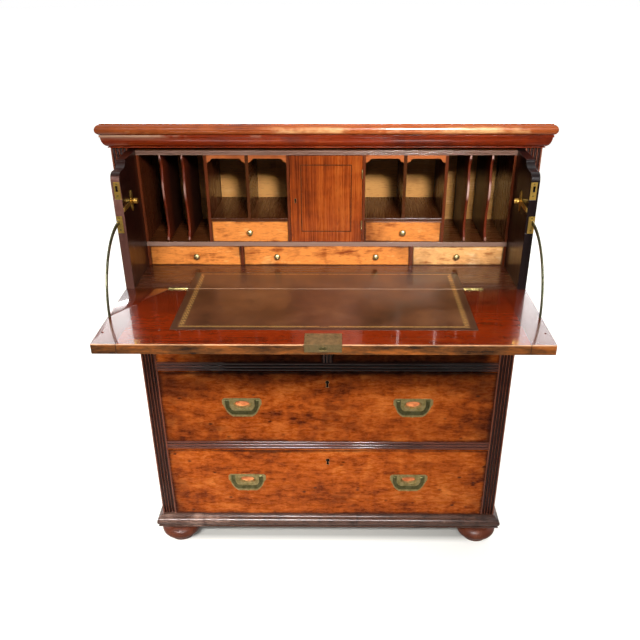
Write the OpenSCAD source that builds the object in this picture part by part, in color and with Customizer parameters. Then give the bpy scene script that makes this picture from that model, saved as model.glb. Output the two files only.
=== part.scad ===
// Mahogany secretary chest on turned bun feet.
// A writing drawer with a hinged fall pulls out above two short and two long drawers.
// Millimetres, X to the right, Y to the back, Z up, all stored with the writing drawer pulled
// out and the fall let down. The carcase face is the plane Y = face_y.

/* [Carcase] */
// Width over the two side panels
width = 930; // [900:980]
// Depth from the carcase face to the back
depth = 415; // [400:470]
// Thickness of a side panel
side_t = 16; // [14:20]
// Width of a reeded pilaster on the face
pilaster_w = 36; // [32:42]
// Thickness of rails and pilasters from front to back
rail_d = 22; // [20:26]
// Height of each reeded rail between the drawers
rail_h = 26; // [24:30]
// Thickness of a dust board
dust_t = 10; // [8:12]
// Thickness of the back panel
back_t = 10; // [8:12]
// Height of the cornice moulding under the top
cornice_h = 29; // [26:34]
// Overhang of the cornice moulding
cornice_out = 17; // [14:20]
// Thickness of the top board
top_t = 23; // [20:28]
// Overhang of the top board
top_out = 23; // [21:28]
// Height of the plinth moulding
plinth_h = 37; // [34:44]
// Overhang of the plinth moulding
plinth_out = 17; // [14:20]

/* [Bun feet] */
// Height of a bun foot
foot_h = 67; // [60:76]
// Largest radius of a bun foot
foot_r = 55; // [50:58]

/* [Drawers] */
// Height of the opening for the lower long drawer
long_low_h = 219; // [205:225]
// Height of the opening for the upper long drawer
long_up_h = 213; // [200:218]
// Height of the opening for the two short drawers
short_h = 216; // [200:220]
// Width of the upright between the two short drawers
upright_w = 26; // [22:32]
// Thickness of a drawer front
front_t = 20; // [18:22]
// Thickness of the drawer sides and back
box_t = 10; // [8:12]
// Thickness of a drawer bottom
box_floor_t = 7; // [6:9]
// Gap between a drawer and its opening at each side
drawer_gap = 0.7; // [0.5:0.1:1.2]
// Height of a keyhole above the middle of its front
keyhole_up = 76; // [70:82]

/* [Flush handles] */
// Half the width of a handle plate
plate_half = 51; // [48:54]
// Height of a handle plate
plate_h = 57; // [55:60]
// Depth a handle plate is let into the front
plate_deep = 9; // [8:11]
// Distance of a handle from the middle on the long drawers
handle_x = 221; // [200:240]
// Thickness of the swinging bail
bail_t = 4.4; // [4:0.1:5]
// Gap round the bail in its plate
bail_gap = 0.7; // [0.5:0.1:1]

/* [Writing drawer] */
// How far the writing drawer is pulled out
pull = 171; // [150:190]
// Height of the opening for the writing drawer
writing_h = 285; // [280:300]
// Thickness of the writing floor
floor_t = 20; // [18:22]
// Thickness of the fall
fall_t = 20; // [18:22]
// Depth of the rebated lip under the hinge line
lip = 18; // [14:20]
// Thickness of a cheek
cheek_t = 18; // [18:21]
// Gap between the cheeks and the cornice they slide in under
cheek_clear = 4.6; // [3:0.1:8]
// Drop of a cheek from its back to its rounded nose
nose_drop = 14; // [10:18]
// Depth of the open writing space in front of the pigeonholes
recess = 141; // [130:155]
// Thickness of the leather on the floor and fall
leather_t = 1.2; // [1:0.1:1.6]
// Half the width of the leather
leather_half = 295; // [280:300]
// Depth of the leather on the writing floor
floor_leather_d = 95; // [85:110]
// Depth of the leather on the fall
fall_leather_d = 202; // [190:208]
// Half the length of a butt hinge
leaf_half = 20.7; // [18:0.1:22]
// Depth of the lock plate in the edge of the fall
lock_d = 48; // [44:50]
// Half the width of the lock plate
lock_half = 35; // [30:40]
// Distance of a spring catch's keep from the hinge line
catch_r = 215; // [208:218]
// Place of a catch knob behind the hinge line
catch_y = 68; // [64:74]
// Height of a catch knob above the writing floor
catch_z = 172; // [168:176]

/* [Quadrant stays] */
// Radius of the curved stays round the hinge line
stay_r = 145; // [135:155]
// Width of a stay across its curve
stay_w = 8; // [7:9]
// Thickness of a stay
stay_t = 3; // [2.5:0.1:3.5]
// Gap round a stay in its groove
stay_gap = 0.5; // [0.4:0.1:0.8]

/* [Pigeonholes] */
// Depth of the pigeonhole unit from front to back
unit_d = 180; // [150:190]
// Height of the lower row of small drawers with its gaps
low_row = 46; // [42:50]
// Thickness of the long shelf over the lower row
shelf_t = 10; // [9:12]
// Height of the upper small drawers with their gaps
up_row = 48; // [44:54]
// Thickness of the thin inner boards
thin_t = 7; // [6:8]
// Height of the reeded strip along the top
strip_h = 10; // [8:11]
// Half the width of the cupboard opening
door_half = 80; // [76:84]
// Middle of a pigeonhole from the middle of the chest
hole_mid = 172; // [168:176]
// Outer face of the outer upright from the middle
outer_x = 265; // [258:270]
// Distance from one letter divider to the next
slot_pitch = 47.5; // [44:0.5:49]
// Thickness of a letter divider
divider_t = 6; // [5:8]
// Depth of the waves in the front edge of a letter divider
wave_d = 14; // [10:18]
// Height of the cusped brackets at the heads of the pigeonholes
bracket_h = 16; // [12:18]
// Half the width of the long small drawer
low_mid = 190; // [180:200]
// Knobs of the long small drawer from the middle of the chest
mid_knob_x = 113; // [100:130]
// Radius of a small brass knob
knob_r = 7; // [6:0.5:7.5]
// Thickness of a small drawer front
small_t = 9; // [8:10]

/* [Hidden] */
board_gap = 0.1;
fall_gap = 0.3;
face_y = 0;
half_w = width / 2;
open_half = half_w - pilaster_w;
inner_half = half_w - side_t;
plinth_z = foot_h;
z_base = foot_h + plinth_h;
z_rail_b = z_base + long_low_h;
z_long_up = z_rail_b + rail_h;
z_rail_a = z_long_up + long_up_h;
z_short = z_rail_a + rail_h;
z_rail_top = z_short + short_h;
z_writing = z_rail_top + rail_h;
z_cornice = z_writing + writing_h;
z_top = z_cornice + cornice_h;
height = z_top + top_t;
hinge_y = fall_t - pull;
floor_low = z_writing + 0.4;
hinge_z = floor_low + floor_t;
fall_len = z_cornice - hinge_z - 0.6;
cheek_h = z_cornice - hinge_z - cheek_clear;
nose_z = cheek_h - nose_drop;
body_half = open_half - 0.4;
cheek_in = body_half - cheek_t;
unit_y = hinge_y + recess;
unit_back = unit_y + unit_d;
side_inner = cheek_in - 6;
z_shelf = hinge_z + low_row;
z_upper = z_shelf + shelf_t;
z_pigeon = z_upper + up_row;
z_strip = hinge_z + cheek_h - strip_h;
stay_x = body_half - 2.5 - stay_t;
hinge_x = leather_half + leaf_half + 0.8;
keep_below = 22;
keep_above = 14;

mahogany = [0.45, 0.16, 0.07];
dark_wood = [0.25, 0.09, 0.05];
light_wood = [0.68, 0.42, 0.2];
pine = [0.72, 0.55, 0.36];
brass = [0.72, 0.56, 0.25];
hide = [0.36, 0.2, 0.12];

// A box from its low corner to its high corner
module block(lo, hi) {
    translate(lo)
        cube([hi[0] - lo[0], hi[1] - lo[1], hi[2] - lo[2]]);
}

// Draws its children, and once more mirrored to the other side
module both_sides() {
    children();
    mirror([1, 0, 0])
        children();
}

// Runs a profile drawn as (outward, up) round the front and the two sides, mitred at the
// corners. With a gap the three lengths are pieces of their own.
module moulding(z, half, back, thick, out, gap) {
    far = half + out + 5;
    for (side = [-1, 1])
        intersection() {
            translate([side * half, back, z])
                rotate([90, 0, 0])
                    linear_extrude(back + out + 10)
                        scale([side, 1])
                            children();
            translate([0, 0, z - 1])
                linear_extrude(height)
                    polygon([[side * (half - thick), thick], [side * far, -out - 5],
                        [side * far, back], [side * (half - thick), back]]);
        }
    intersection() {
        translate([-far, face_y, z])
            rotate([90, 0, 90])
                linear_extrude(2 * far)
                    mirror([1, 0])
                        children();
        translate([0, 0, z - 1])
            linear_extrude(height)
                polygon([[-half + thick + gap, thick], [-far + gap, -out - 5],
                    [far - gap, -out - 5], [half - thick - gap, thick]]);
    }
}

// From the top: a square, a large quarter round and a thin square at the foot
module cornice_profile() {
    round_out = cornice_out - 4;
    round_top = cornice_h - 5;
    round_h = round_top - 3;
    union() {
        translate([-side_t, round_top])
            square([side_t + cornice_out, 5 - board_gap]);
        translate([-side_t, 0])
            square([side_t + 2, cornice_h - 1]);
        translate([-side_t, 0])
            square([side_t + 4.5, 2.4]);
        intersection() {
            translate([2, round_top])
                scale([1, round_h / round_out])
                    circle(r = round_out, $fn = 40);
            square([cornice_out, cornice_h - 1]);
        }
    }
}

// From the top: a hollow, a full round and a thin square at the foot
module plinth_profile() {
    round_r = (plinth_h - 13) / 2;
    hollow_z = plinth_h - 9;
    union() {
        translate([-side_t, 0])
            square([side_t + plinth_out - 7, hollow_z]);
        translate([-side_t, 0])
            square([side_t + plinth_out - 3, 3]);
        translate([plinth_out - 9, 4 + round_r])
            scale([9 / round_r, 1])
                circle(r = round_r, $fn = 40);
        difference() {
            translate([-side_t, hollow_z - 2])
                square([side_t + plinth_out - 5, 11]);
            translate([plinth_out - 3, plinth_h + 1])
                circle(r = 10, $fn = 40);
        }
    }
}

module top_board() {
    color(mahogany) {
        block([-half_w, 0, z_top], [half_w, depth, height]);
        moulding(z_top, half_w, depth, 5, top_out, 0)
            thumb_profile();
    }
}

// Edge of the top: a small square above a thumb-shaped round
module thumb_profile() {
    r = top_t / 2;
    translate([-4, 0])
        square([top_out - 5, top_t]);
    translate([top_out - 10, r - 1])
        scale([10 / (r - 1), 1])
            circle(r = r - 1, $fn = 48);
}

module cornice_moulding() {
    color(mahogany)
        moulding(z_cornice, half_w, depth, side_t, cornice_out, board_gap)
            cornice_profile();
}

module side_panels() {
    color(mahogany)
        both_sides()
            block([inner_half, rail_d, z_base + board_gap], [half_w, depth, z_cornice - board_gap]);
}

// Two upright strips, each with four flutes down its face
module pilasters() {
    reed = (pilaster_w - 5.2) / 4;
    color(mahogany)
        both_sides()
            translate([open_half, 0, z_base + board_gap])
                linear_extrude(z_cornice - z_base - 2 * board_gap) {
                    difference() {
                        square([pilaster_w, rail_d - board_gap]);
                        for (i = [0 : 3])
                            translate([2.6 + reed * (i + 0.5), 0.4])
                                circle(r = reed * 0.42, $fn = 14);
                    }
                }
}

// A board with three round reeds along its face
module reeded(h, d) {
    r = h / 6;
    square_x = r * 0.75;
    translate([square_x, 0])
        square([d - square_x, h]);
    for (i = [0 : 2])
        translate([r, r * (2 * i + 1)])
            circle(r = r - 0.25, $fn = 22);
}

module front_rails() {
    color(mahogany)
        for (z = [z_rail_b, z_rail_a, z_rail_top])
            translate([-open_half + board_gap, 0, z])
                rotate([90, 0, 90])
                    linear_extrude(2 * (open_half - board_gap))
                        reeded(rail_h, rail_d - board_gap);
}

module drawer_upright() {
    color(mahogany)
        translate([-upright_w / 2, 0, z_short + board_gap])
            linear_extrude(short_h - 2 * board_gap)
                rotate([0, 0, 90])
                    mirror([0, 1])
                        reeded(upright_w, rail_d - board_gap);
}

// Boards that the drawers run on, and the bottom of the carcase
module dust_boards() {
    color(pine) {
        for (z = [z_rail_b, z_rail_a, z_rail_top])
            block([-inner_half + board_gap, rail_d, z + rail_h - dust_t],
                [inner_half - board_gap, depth - back_t - 4, z + rail_h]);
        block([-inner_half + board_gap, rail_d, z_base - 18],
            [inner_half - board_gap, depth - back_t, z_base]);
    }
}

module drawer_guides() {
    color(pine) {
        for (z = [z_base, z_long_up, z_short, z_writing])
            both_sides()
                block([open_half, rail_d, z + board_gap],
                    [inner_half - board_gap, depth - back_t - 4, z + 40]);
        block([-upright_w / 2, rail_d, z_short + board_gap],
            [upright_w / 2, depth - back_t - 4, z_short + 40]);
    }
}

module back_panel() {
    color(pine)
        block([-inner_half + board_gap, depth - back_t + board_gap, plinth_z + 10],
            [inner_half - board_gap, depth, z_top - board_gap]);
}

module plinth_moulding() {
    color(dark_wood)
        moulding(plinth_z, half_w, depth, side_t, plinth_out, board_gap)
            plinth_profile();
}

// A turned bun: squat ball with a collar above and a small pad below
module bun() {
    waist = foot_r * 0.78;
    pad = foot_r * 0.62;
    rotate_extrude($fn = 40)
        union() {
            square([pad, foot_h - 6]);
            intersection() {
                translate([0, foot_h * 0.46])
                    scale([foot_r, foot_h * 0.43])
                        circle(r = 1, $fn = 44);
                square([foot_r + 2, foot_h]);
            }
            translate([0, foot_h - 14])
                square([waist, 14 - board_gap]);
            translate([waist - 3, foot_h - 9])
                circle(r = 5, $fn = 16);
        }
}

module bun_feet() {
    color(dark_wood)
        for (y = [foot_r - plinth_out + 1, depth - foot_r - 3])
            both_sides()
                translate([half_w + plinth_out - foot_r, y, 0])
                    bun();
}

module writing_floor() {
    color(mahogany)
        difference() {
            block([-cheek_in + board_gap, hinge_y, floor_low],
                [cheek_in - board_gap, unit_back, hinge_z]);
            block([-cheek_in - 1, hinge_y - 1, floor_low - 1],
                [cheek_in + 1, hinge_y + lip + 0.8, hinge_z - fall_t / 2 + 0.4]);
            block([-leather_half - 0.3, hinge_y - 1, hinge_z - leather_t],
                [leather_half + 0.3, hinge_y + floor_leather_d + 0.3, hinge_z + 1]);
            both_sides()
                leaf_pocket(hinge_y - 1, hinge_y + 9);
        }
}

// The shallow sinking for one hinge leaf
module leaf_pocket(y0, y1) {
    block([hinge_x - leaf_half - 0.3, y0, hinge_z - 2],
        [hinge_x + leaf_half + 0.3, y1, hinge_z + 1]);
}

// Side view of a cheek, drawn as (Y, Z) from the hinge line
module cheek_profile() {
    polygon(concat(
        [[fall_gap, -floor_t], [fall_gap, nose_z - 16]],
        [for (a = [0 : 10 : 90]) [fall_gap + 16 * (1 - cos(a)), nose_z - 16 + 16 * sin(a)]],
        [[30, nose_z]],
        [for (a = [0 : 10 : 90]) [34 + 26 * sin(a), nose_z + (cheek_h - nose_z) * (1 - cos(a))]],
        [[60, cheek_h], [recess + unit_d, cheek_h], [recess + unit_d, -floor_t]]));
}

// The outer groove in a cheek that the tail of a stay runs down into
module stay_groove() {
    x0 = stay_x - stay_gap;
    translate([x0, hinge_y, hinge_z])
        rotate([90, 0, 90])
            linear_extrude(20)
                intersection() {
                    difference() {
                        circle(r = stay_r + stay_w / 2 + stay_gap, $fn = 120);
                        circle(r = stay_r - stay_w / 2 - stay_gap, $fn = 120);
                    }
                    translate([-3, -18])
                        square([stay_r + 20, stay_r + 40]);
                }
}

// A cheek with its groove and the sinkings for its brass plates
module cheek() {
    difference() {
        translate([cheek_in, hinge_y, hinge_z])
            rotate([90, 0, 90])
                linear_extrude(cheek_t)
                    cheek_profile();
        stay_groove();
        block([cheek_in - 1, hinge_y - 1, hinge_z + stay_r - keep_below],
            [body_half + 1, hinge_y + 1.6, hinge_z + stay_r + keep_above]);
        block([cheek_in - 1, hinge_y - 1, hinge_z + catch_r - keep_below],
            [body_half - 4, hinge_y + 1.6, hinge_z + catch_r + keep_above]);
        block([body_half - 12.5, hinge_y - 1, hinge_z + catch_r - 6],
            [body_half - 7.5, hinge_y + 12, hinge_z + catch_r + 6]);
        translate([cheek_in - 1, hinge_y + catch_y, hinge_z + catch_z])
            rotate([0, 90, 0])
                cylinder(r = 3.1, h = 9, $fn = 28);
        block([cheek_in - 1, hinge_y + catch_y - 7, hinge_z + catch_z - 22.2],
            [cheek_in + 1.2, hinge_y + catch_y + 7, hinge_z + catch_z + 22.2]);
    }
}

module cheek_left() {
    color(mahogany)
        mirror([1, 0, 0])
            cheek();
}

module cheek_right() {
    color(mahogany)
        cheek();
}

module writing_back() {
    color(pine)
        block([-cheek_in + board_gap, unit_back - 8, hinge_z + board_gap],
            [cheek_in - board_gap, unit_back - board_gap, hinge_z + cheek_h - strip_h - board_gap]);
}

module unit_top() {
    color(mahogany)
        translate([-cheek_in + board_gap, unit_y, z_strip])
            rotate([90, 0, 90])
                linear_extrude(2 * (cheek_in - board_gap))
                    reeded(strip_h, unit_d);
}

module unit_shelf() {
    color(mahogany)
        block([-cheek_in + board_gap, unit_y, z_shelf],
            [cheek_in - board_gap, unit_back - 8 - board_gap, z_upper]);
}

// Uprights of the unit: side linings, pigeonhole ends, door posts and the two of the low row
module unit_uprights() {
    y0 = unit_y + 0.5;
    y1 = unit_back - 8 - board_gap;
    top = z_strip - board_gap;
    color(mahogany)
        both_sides() {
            block([side_inner, y0, z_upper + board_gap], [cheek_in - board_gap, y1, top]);
            block([side_inner, y0, hinge_z + board_gap],
                [cheek_in - board_gap, y1, z_shelf - board_gap]);
            block([outer_x - thin_t, y0, z_upper + board_gap], [outer_x, y1, top]);
            block([door_half, y0, z_upper + board_gap], [door_half + thin_t - 1, y1, top]);
            block([low_mid, y0, hinge_z + board_gap], [low_mid + thin_t + 1, y1, z_shelf - board_gap]);
        }
}

// The floor of each pair of pigeonholes with the thin upright that parts them
module pigeonhole_shelves() {
    y0 = unit_y + 0.5;
    y1 = unit_back - 8 - board_gap;
    color(light_wood)
        both_sides() {
            block([door_half + thin_t - 1 + board_gap, y0, z_pigeon],
                [outer_x - thin_t - board_gap, y1, z_pigeon + thin_t]);
            block([hole_mid - thin_t / 2, y0, z_pigeon + thin_t + board_gap],
                [hole_mid + thin_t / 2, y1, z_strip - board_gap]);
        }
}

// Side view of a letter divider from its foot: wavy front edge with a bead at each end
module divider_profile() {
    top = z_strip - z_upper - 2 * board_gap;
    back = unit_d - 9 - 2 * board_gap;
    polygon(concat(
        [for (i = [0 : 24]) let (t = i / 24, z = top * t)
            [wave_d * (1 - 0.93 * exp(-pow((t - 0.03) / 0.06, 2))
                - 0.86 * exp(-pow((t - 0.6) / 0.2, 2))
                - 0.93 * exp(-pow((t - 0.98) / 0.07, 2))), z]],
        [[back, top], [back, 0]]));
}

module letter_dividers() {
    color(mahogany)
        both_sides()
            for (i = [1, 2])
                translate([outer_x + i * slot_pitch - divider_t / 2, unit_y + 1,
                    z_upper + board_gap])
                    rotate([90, 0, 90])
                        linear_extrude(divider_t)
                            divider_profile();
}

// A thin apron at the head of a pigeonhole: a straight strip with a cusped bracket at each end
module valance(x0, x1) {
    w = x1 - x0 - 2 * board_gap;
    h = bracket_h;
    translate([x0 + board_gap, unit_y + 4, z_strip - board_gap])
        rotate([90, 0, 0])
            linear_extrude(3.5)
                difference() {
                    translate([0, -h])
                        square([w, h]);
                    translate([h - 1, -h - 1])
                        square([w - 2 * h + 2, h * 0.62]);
                    for (x = [h - 2, w - h + 2])
                        translate([x, 2 - h])
                            circle(r = h * 0.44, $fn = 32);
                    for (x = [h * 0.34, w - h * 0.34])
                        translate([x, -h - 1])
                            circle(r = h * 0.22, $fn = 24);
                }
}

module valances() {
    color(light_wood)
        both_sides() {
            valance(door_half + thin_t - 1, hole_mid - thin_t / 2);
            valance(hole_mid + thin_t / 2, outer_x - thin_t);
        }
}

module floor_leather() {
    color(hide)
        block([-leather_half, hinge_y + 0.3, hinge_z - leather_t],
            [leather_half, hinge_y + floor_leather_d, hinge_z]);
}

// Brass let into the cheeks: keeps and slotted stay plates on the front edges, and the
// pointed plates of the spring catches, each with the bar that runs to the front edge
module cheek_brasses() {
    color(brass)
        both_sides() {
            difference() {
                block([cheek_in + 1, hinge_y + fall_gap, hinge_z + catch_r - keep_below + 0.2],
                    [body_half - 4.2, hinge_y + 1.6, hinge_z + catch_r + keep_above - 0.2]);
                block([body_half - 12.3, hinge_y - 1, hinge_z + catch_r - 5.8],
                    [body_half - 7.7, hinge_y + 3, hinge_z + catch_r + 5.8]);
            }
            difference() {
                block([body_half - 13, hinge_y + fall_gap, hinge_z + stay_r - keep_below + 0.2],
                    [body_half, hinge_y + 1.6, hinge_z + stay_r + keep_above - 0.2]);
                block([stay_x - stay_gap, hinge_y - 1, hinge_z + stay_r - stay_w / 2 - stay_gap],
                    [stay_x + stay_t + stay_gap, hinge_y + 3,
                        hinge_z + stay_r + stay_w / 2 + stay_gap]);
            }
            difference() {
                union() {
                    translate([cheek_in + 1.2, hinge_y + catch_y, hinge_z + catch_z])
                        rotate([0, -90, 0])
                            linear_extrude(2.4)
                                polygon([[-22, 0], [-15, -6.8], [15, -6.8], [22, 0], [15, 6.8],
                                    [-15, 6.8]]);
                    block([cheek_in - 2.6, hinge_y + 1, hinge_z + catch_z - 4],
                        [cheek_in - 0.2, hinge_y + catch_y - 5, hinge_z + catch_z + 4]);
                }
                translate([cheek_in - 5, hinge_y + catch_y, hinge_z + catch_z])
                    rotate([0, 90, 0])
                        cylinder(r = 2.6, h = 12, $fn = 28);
            }
        }
}

module catch_knob() {
    translate([cheek_in - 1.4, hinge_y + catch_y, hinge_z + catch_z])
        rotate([0, -90, 0])
            rotate_extrude($fn = 28)
                union() {
                    translate([0, -8])
                        square([2.5, 10]);
                    square([3, 3]);
                    translate([0, 3])
                        square([6, 3.4]);
                    translate([0, 6])
                        square([4.8, 2]);
                    translate([0, 8])
                        square([6, 3]);
                }
}

module catch_knob_left() {
    color(brass)
        mirror([1, 0, 0])
            catch_knob();
}

module catch_knob_right() {
    color(brass)
        catch_knob();
}

module floor_hinge_leaves() {
    color(brass)
        both_sides()
            block([hinge_x - leaf_half, hinge_y + 2.4, hinge_z - 1.9],
                [hinge_x + leaf_half, hinge_y + 8.8, hinge_z]);
}

module fall_board() {
    color(mahogany)
        difference() {
            union() {
                block([-body_half, hinge_y - fall_len, hinge_z - fall_t],
                    [body_half, hinge_y - 0.3, hinge_z]);
                block([-cheek_in + 0.8, hinge_y - 5, hinge_z - fall_t],
                    [cheek_in - 0.8, hinge_y + lip, hinge_z - fall_t / 2]);
            }
            block([-leather_half - 0.3, hinge_y - fall_leather_d - 0.3, hinge_z - leather_t],
                [leather_half + 0.3, hinge_y, hinge_z + 1]);
            both_sides()
                leaf_pocket(hinge_y - 9, hinge_y + 1);
            block([-lock_half - 0.3, hinge_y - fall_len - 1, hinge_z - 16.3],
                [lock_half + 0.3, hinge_y - fall_len + lock_d + 0.3, hinge_z + 1]);
            both_sides() {
                block([stay_x - 0.2, hinge_y - stay_r - stay_w / 2 - 0.2, hinge_z - 12.2],
                    [stay_x + stay_t + 0.2, hinge_y - stay_r + stay_w / 2 + 0.2, hinge_z + 1]);
                translate([body_half - 10, hinge_y - catch_r, hinge_z - 8])
                    cylinder(r = 2.5, h = 20, $fn = 24);
            }
        }
}

module fall_leather() {
    color(hide)
        block([-leather_half, hinge_y - fall_leather_d, hinge_z - leather_t],
            [leather_half, hinge_y - 0.6, hinge_z]);
}

// A flat brass bar bent to a quarter circle round the hinge line, with a tang in the fall
module quadrant_stay() {
    translate([stay_x, hinge_y, hinge_z])
        rotate([90, 0, 90])
            linear_extrude(stay_t)
                union() {
                    intersection() {
                        difference() {
                            circle(r = stay_r + stay_w / 2, $fn = 120);
                            circle(r = stay_r - stay_w / 2, $fn = 120);
                        }
                        polygon([[0, 0], [-2 * stay_r, 0], [-2 * stay_r, 2 * stay_r],
                            [2 * stay_r * tan(3), 2 * stay_r]]);
                    }
                    translate([-stay_r - stay_w / 2, -12])
                        square([stay_w, 13]);
                }
}

module quadrant_stay_left() {
    color(brass)
        mirror([1, 0, 0])
            quadrant_stay();
}

module quadrant_stay_right() {
    color(brass)
        quadrant_stay();
}

module fall_lock() {
    y0 = hinge_y - fall_len;
    color(brass)
        difference() {
            block([-lock_half, y0, hinge_z - 16], [lock_half, y0 + lock_d, hinge_z]);
            block([-7, y0 - 1, hinge_z - 12], [7, y0 + 12, hinge_z - 5]);
        }
}

module fall_bolt() {
    y0 = hinge_y - fall_len;
    color(brass)
        block([-6.9, y0 + 0.2, hinge_z - 11.9], [6.9, y0 + 11, hinge_z - 5.1]);
}

// The fall's leaves of the two butt hinges with their knuckles on the joint line
module fall_hinges() {
    color(brass)
        both_sides() {
            block([hinge_x - leaf_half, hinge_y - 8.8, hinge_z - 1.9],
                [hinge_x + leaf_half, hinge_y - 1, hinge_z]);
            translate([hinge_x - leaf_half, hinge_y, hinge_z])
                rotate([0, 90, 0])
                    cylinder(r = 1.9, h = 2 * leaf_half, $fn = 24);
        }
}

module cupboard_door() {
    x = door_half - 0.8;
    color(light_wood)
        difference() {
            block([-x, unit_y + 0.5, z_upper + 0.9], [x, unit_y + 12.5, z_strip - 0.9]);
            stringing_shape(0.1);
            translate([-x + 11, unit_y - 1, 0])
                keyhole_cut((z_upper + z_strip) / 2, 0.75);
        }
}

// The line of inlay round the door panel
module stringing_shape(extra) {
    x = door_half - 24;
    z0 = z_upper + 24;
    z1 = z_strip - 20;
    difference() {
        block([-x - extra, unit_y - extra * 10, z0 - extra], [x + extra, unit_y + 2, z1 + extra]);
        block([-x + 2 + extra, unit_y - 2, z0 + 2 + extra], [x - 2 - extra, unit_y + 4, z1 - 2 - extra]);
    }
}

module door_stringing() {
    color(pine)
        intersection() {
            stringing_shape(0);
            block([-100, unit_y + 0.4, z_upper], [100, unit_y + 1.9, z_strip]);
        }
}

module door_hinges() {
    color(brass)
        for (z = [z_upper + 30, z_strip - 50])
            translate([door_half - 1, unit_y - 1.2, z])
                cylinder(r = 1.6, h = 20, $fn = 20);
}

// A keyhole: round eye over a tapering slot, cut from the front
module keyhole_cut(z, k) {
    translate([0, -1, z])
        rotate([-90, 0, 0])
            linear_extrude(10)
                union() {
                    circle(r = 3 * k, $fn = 20);
                    polygon([[-1.4 * k, 0], [1.4 * k, 0], [2.2 * k, 9 * k], [-2.2 * k, 9 * k]]);
                }
}

// A dovetailed box behind a front, each board a solid of its own
module drawer_box(x0, x1, z0, z1, y0, y1, side, base) {
    block([x0, y0 + board_gap, z0], [x0 + side, y1, z1]);
    block([x1 - side, y0 + board_gap, z0], [x1, y1, z1]);
    block([x0 + side + board_gap, y1 - side, z0],
        [x1 - side - board_gap, y1, z1 - 4]);
    block([x0 + side + board_gap, y0 + board_gap, z0 + 1],
        [x1 - side - board_gap, y1 - side - board_gap, z0 + 1 + base]);
}

module small_drawer(x0, x1, z0, z1) {
    g = 0.6;
    y0 = unit_y + 1;
    y1 = unit_back - 8 - 12;
    color(light_wood)
        block([x0 + g, y0, z0 + 0.4], [x1 - g, y0 + small_t, z1 - 0.8]);
    color(pine)
        drawer_box(x0 + g, x1 - g, z0 + 0.4, z1 - 4, y0 + small_t, y1, 5, 3);
}

module upper_left_drawer() {
    small_drawer(-outer_x + thin_t, -door_half - thin_t + 1, z_upper, z_pigeon);
}

module upper_right_drawer() {
    small_drawer(door_half + thin_t - 1, outer_x - thin_t, z_upper, z_pigeon);
}

module lower_left_drawer() {
    small_drawer(-side_inner, -low_mid - thin_t - 1, hinge_z, z_shelf);
}

module lower_middle_drawer() {
    small_drawer(-low_mid, low_mid, hinge_z, z_shelf);
}

module lower_right_drawer() {
    small_drawer(low_mid + thin_t + 1, side_inner, hinge_z, z_shelf);
}

module small_knob(x, z) {
    translate([x, unit_y + 1, z])
        rotate([90, 0, 0])
            rotate_extrude($fn = 24)
                union() {
                    square([4, 1]);
                    square([2.6, 7]);
                    intersection() {
                        translate([0, 9])
                            scale([1, 0.62])
                                circle(r = knob_r, $fn = 24);
                        square([knob_r + 1, 20]);
                    }
                }
}

module small_knobs_upper_left() {
    color(brass)
        small_knob(-hole_mid, (z_upper + z_pigeon) / 2);
}

module small_knobs_upper_right() {
    color(brass)
        small_knob(hole_mid, (z_upper + z_pigeon) / 2);
}

module small_knobs_lower_left() {
    color(brass)
        small_knob(-(low_mid + side_inner) / 2, (hinge_z + z_shelf) / 2);
}

module small_knobs_lower_middle() {
    color(brass)
        for (x = [-mid_knob_x, mid_knob_x])
            small_knob(x, (hinge_z + z_shelf) / 2);
}

module small_knobs_lower_right() {
    color(brass)
        small_knob((low_mid + side_inner) / 2, (hinge_z + z_shelf) / 2);
}

// Outline of a handle plate about its centre: cut corners at the top, drawn in to the foot
module plate_outline() {
    w = plate_half;
    h = plate_h / 2;
    polygon([[-w, h - 5], [-w + 6, h], [w - 6, h], [w, h - 5], [w, h - 18], [w - 4, h - 24],
        [w - 11, h - 41], [w - 18, h - 50], [w - 26, -h + 1.5], [3, -h + 1.5], [0, -h],
        [-3, -h + 1.5], [-w + 26, -h + 1.5], [-w + 18, h - 50], [-w + 11, h - 41],
        [-w + 4, h - 24], [-w, h - 18]]);
}

// Outline of the bail, a flat U with splayed arms
module bail_outline() {
    h = plate_h / 2;
    difference() {
        polygon([[-43, h - 9], [-33, h - 9], [33, h - 9], [43, h - 9], [42, h - 26], [36, h - 40],
            [26, h - 49], [-26, h - 49], [-36, h - 40], [-42, h - 26]]);
        polygon([[-33.5, h], [33.5, h], [33, h - 26], [28, h - 35], [22, h - 38.5],
            [-22, h - 38.5], [-28, h - 35], [-33, h - 26]]);
    }
}

// A brass plate let flush into a front, sunk for the bail and hollowed for the fingers
module handle_plate(x, z) {
    h = plate_h / 2;
    translate([x, 0, z])
        rotate([90, 0, 0])
            difference() {
                translate([0, 0, -plate_deep])
                    linear_extrude(plate_deep + 0.8)
                        plate_outline();
                translate([0, 0, 0.8 - bail_t - 0.9])
                    linear_extrude(10)
                        offset(delta = bail_gap)
                            union() {
                                bail_outline();
                                for (s = [-1, 1])
                                    translate([s * 38 - 5, h - 13.5])
                                        square([10, 9]);
                            }
                translate([0, h - 19, -plate_deep + 2])
                    scale([2, 1, 1])
                        cylinder(r1 = 8.7, r2 = 11.5, h = plate_deep - 1.1, $fn = 36);
                for (s = [-1, 1])
                    translate([s * 38 - 7.6, h - 9, 0.8 - bail_t / 2 - 0.3])
                        rotate([0, 90, 0])
                            cylinder(r = 1.25, h = 15.2, $fn = 20);
            }
}

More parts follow.
